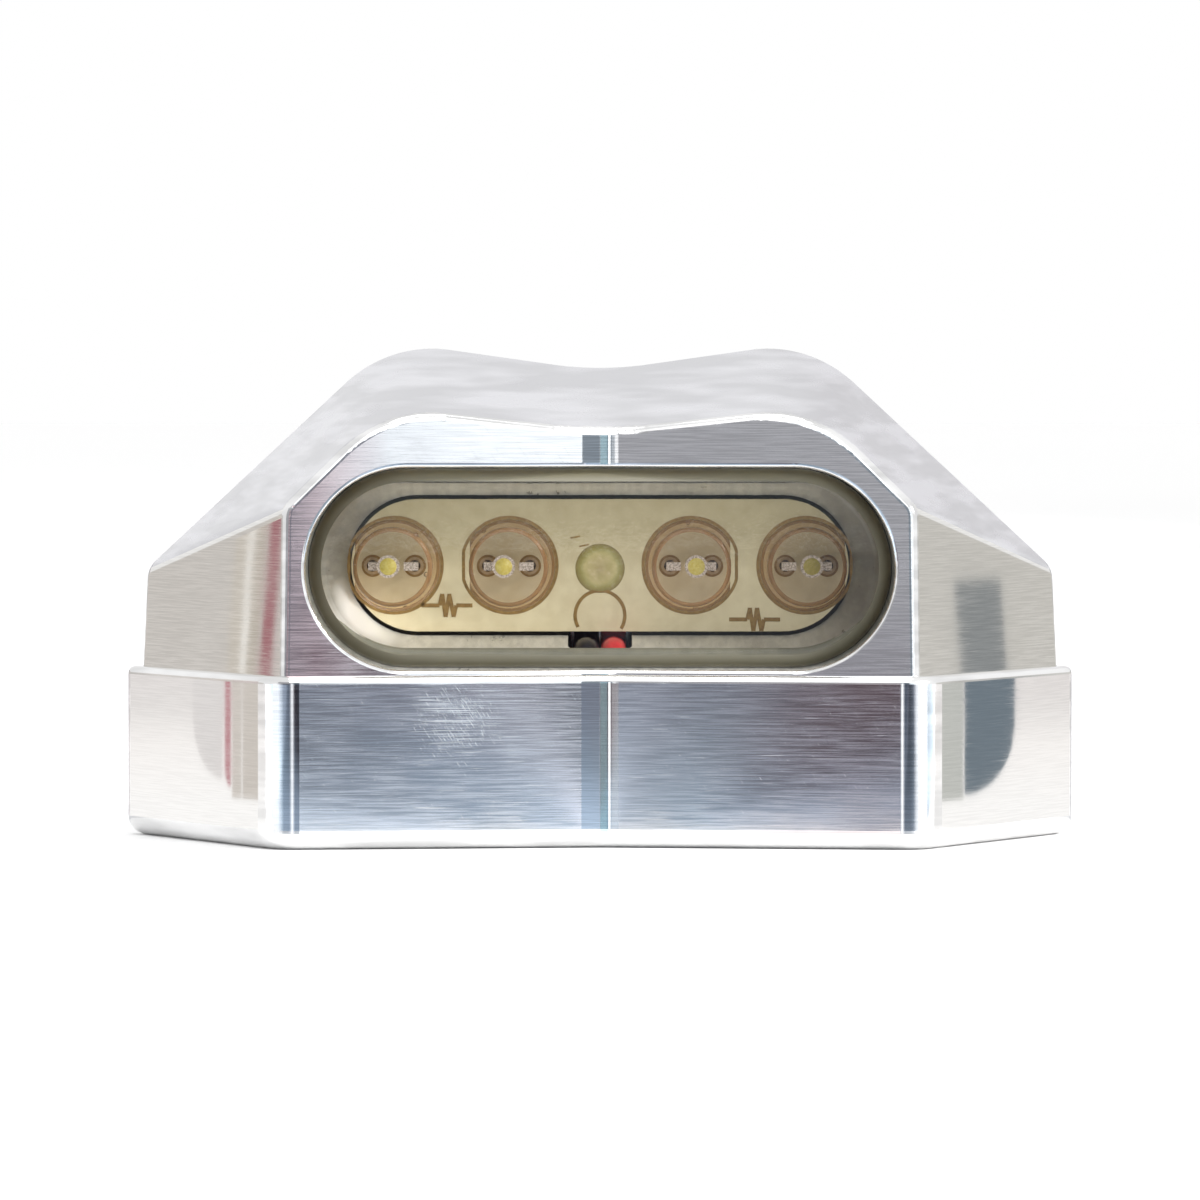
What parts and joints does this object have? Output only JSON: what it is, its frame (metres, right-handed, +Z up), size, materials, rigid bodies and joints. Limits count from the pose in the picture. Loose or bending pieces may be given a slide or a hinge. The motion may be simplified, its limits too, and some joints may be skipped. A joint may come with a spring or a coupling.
{
  "type": "number plate lamp",
  "caption": "Polished aluminium number plate lamp with a humped, rising roof over a long rounded window, and light-emitting diodes in a row behind a clear lens.",
  "frame": {"origin": "middle of the mounting face, under the middle of the lamp", "axes": "+X along the lamp's length, -Y out of the window, +Z up from the mounting face"},
  "size_m": [0.06, 0.0188, 0.0308],
  "materials": {
    "housing_aluminium": "polished, with fine brushing on the front",
    "lens_plastic": "clear, glossy",
    "seal_compound": "olive, satin",
    "board_laminate": "cream with brown print",
    "plug_resin": "greenish, glossy",
    "resistor_ceramic": "black, matte",
    "grommet_rubber": "black, matte",
    "led_resin": "clear, glossy",
    "led_leads": "tinned",
    "led_phosphor": "yellow, satin",
    "black_sleeve": "black, satin",
    "red_sleeve": "red, satin",
    "wire_copper": "bare copper",
    "solder": "bright"
  },
  "bodies": {
    "root": {"housing": "housing_aluminium", "lens": "lens_plastic", "lens_seal": "seal_compound", "circuit_board": "board_laminate", "board_resin_plug": "plug_resin", "resistor_1": "resistor_ceramic", "resistor_2": "resistor_ceramic", "cable_grommet": "grommet_rubber", "led_body_1": "led_resin", "led_body_2": "led_resin", "led_body_3": "led_resin", "led_body_4": "led_resin", "led_cathode_1": "led_leads", "led_cathode_2": "led_leads", "led_cathode_3": "led_leads", "led_cathode_4": "led_leads", "led_anode_1": "led_leads", "led_anode_2": "led_leads", "led_anode_3": "led_leads", "led_anode_4": "led_leads", "led_phosphor_1": "led_phosphor", "led_phosphor_2": "led_phosphor", "led_phosphor_3": "led_phosphor", "led_phosphor_4": "led_phosphor", "black_wire_sleeve": "black_sleeve", "red_wire_sleeve": "red_sleeve", "black_wire_core": "wire_copper", "red_wire_core": "wire_copper", "solder_joints": "solder"}
  },
  "joints": []
}
